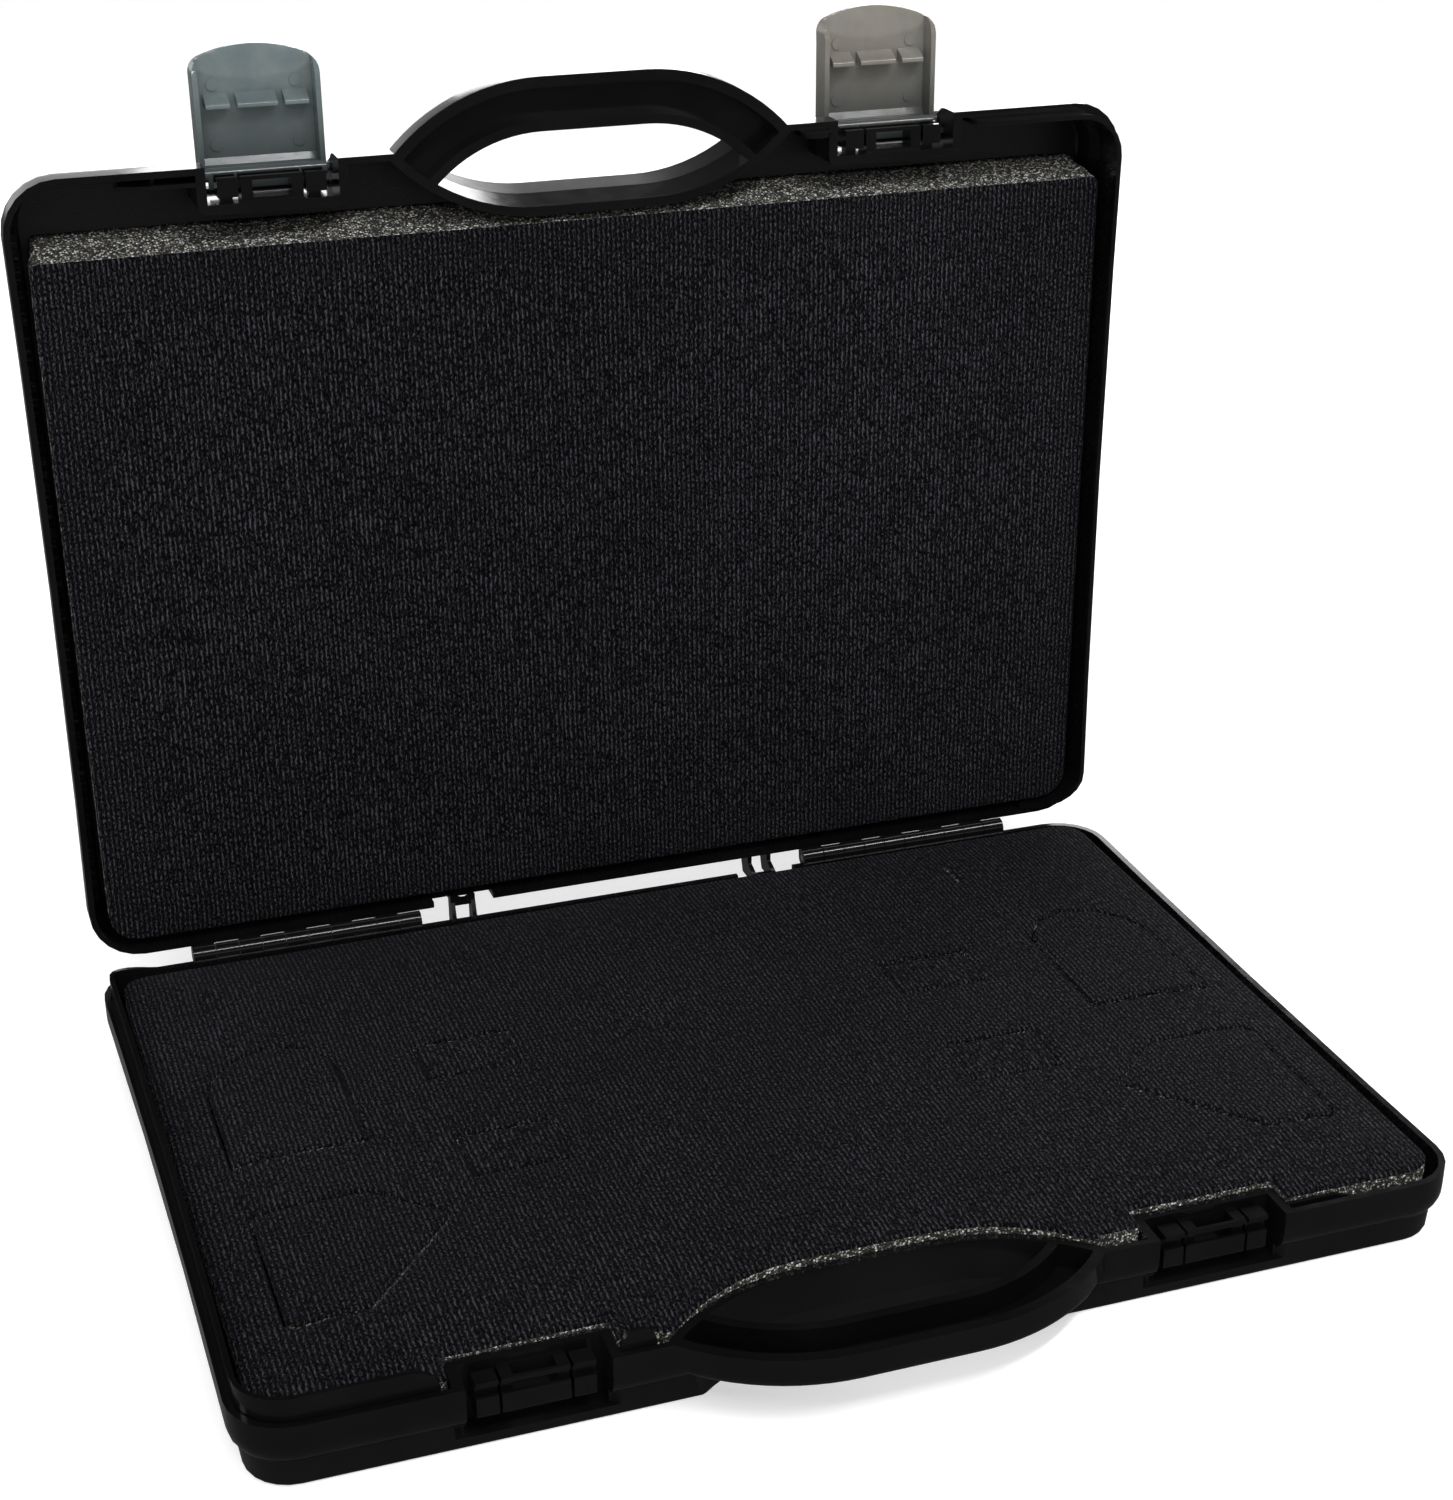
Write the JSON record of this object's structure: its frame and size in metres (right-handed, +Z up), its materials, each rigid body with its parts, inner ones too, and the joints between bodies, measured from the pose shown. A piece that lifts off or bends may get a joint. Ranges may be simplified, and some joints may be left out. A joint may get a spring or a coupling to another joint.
{
  "type": "attache case",
  "caption": "Slim moulded plastic attache case standing open, with an integral carrying handle, swing latches on the lid and fabric-faced foam lining with die-cut plugs.",
  "frame": {"origin": "centre of the base's flat underside, on the floor", "axes": "+Z up, -Y towards the handle and the user, +Y towards the hinge, +X to the user's right with the lid open behind"},
  "size_m": [0.43, 0.3622, 0.3719],
  "materials": {
    "shell_plastic": "satin black, fine texture on the lower walls",
    "latch_plastic": "cloudy grey, slightly translucent",
    "pin_steel": "bright wire",
    "lining_foam": "dark open-cell foam with glinting cells",
    "lining_fabric": "black brushed pile with fine ribs running front to back"
  },
  "bodies": {
    "base": {"base_shell": "shell_plastic", "hinge_pin_left": "pin_steel", "hinge_pin_right": "pin_steel", "base_foam": "lining_foam", "base_facing": "lining_fabric", "plug_arch_left_foam": "lining_foam", "plug_arch_left_facing": "lining_fabric", "plug_arch_right_foam": "lining_foam", "plug_arch_right_facing": "lining_fabric", "plug_angle_left_foam": "lining_foam", "plug_angle_left_facing": "lining_fabric", "plug_angle_right_foam": "lining_foam", "plug_angle_right_facing": "lining_fabric", "plug_small_left_rear_foam": "lining_foam", "plug_small_left_rear_facing": "lining_fabric", "plug_small_right_rear_foam": "lining_foam", "plug_small_right_rear_facing": "lining_fabric", "plug_small_left_front_foam": "lining_foam", "plug_small_left_front_facing": "lining_fabric", "plug_small_right_front_foam": "lining_foam", "plug_small_right_front_facing": "lining_fabric", "plug_long_centre_foam": "lining_foam", "plug_long_centre_facing": "lining_fabric"},
    "lid": {"lid_shell": "shell_plastic", "lid_foam": "lining_foam", "lid_facing": "lining_fabric"},
    "latch_left": {"latch_left": "latch_plastic"},
    "latch_right": {"latch_right": "latch_plastic"}
  },
  "joints": [
    {"name": "lid_hinge", "type": "hinge", "parent": "base", "child": "lid", "pos_m": [0, 0.1567, 0.026], "axis": [1, 0, 0], "range_deg": [0, 90]},
    {"name": "latch_left_pivot", "type": "hinge", "parent": "lid", "child": "latch_left", "pos_m": [-0.1196, 0.1749, 0.3287], "axis": [1, 0, 0], "range_deg": [0, 90]},
    {"name": "latch_right_pivot", "type": "hinge", "parent": "lid", "child": "latch_right", "pos_m": [0.1196, 0.1749, 0.3287], "axis": [1, 0, 0], "range_deg": [0, 90]}
  ]
}
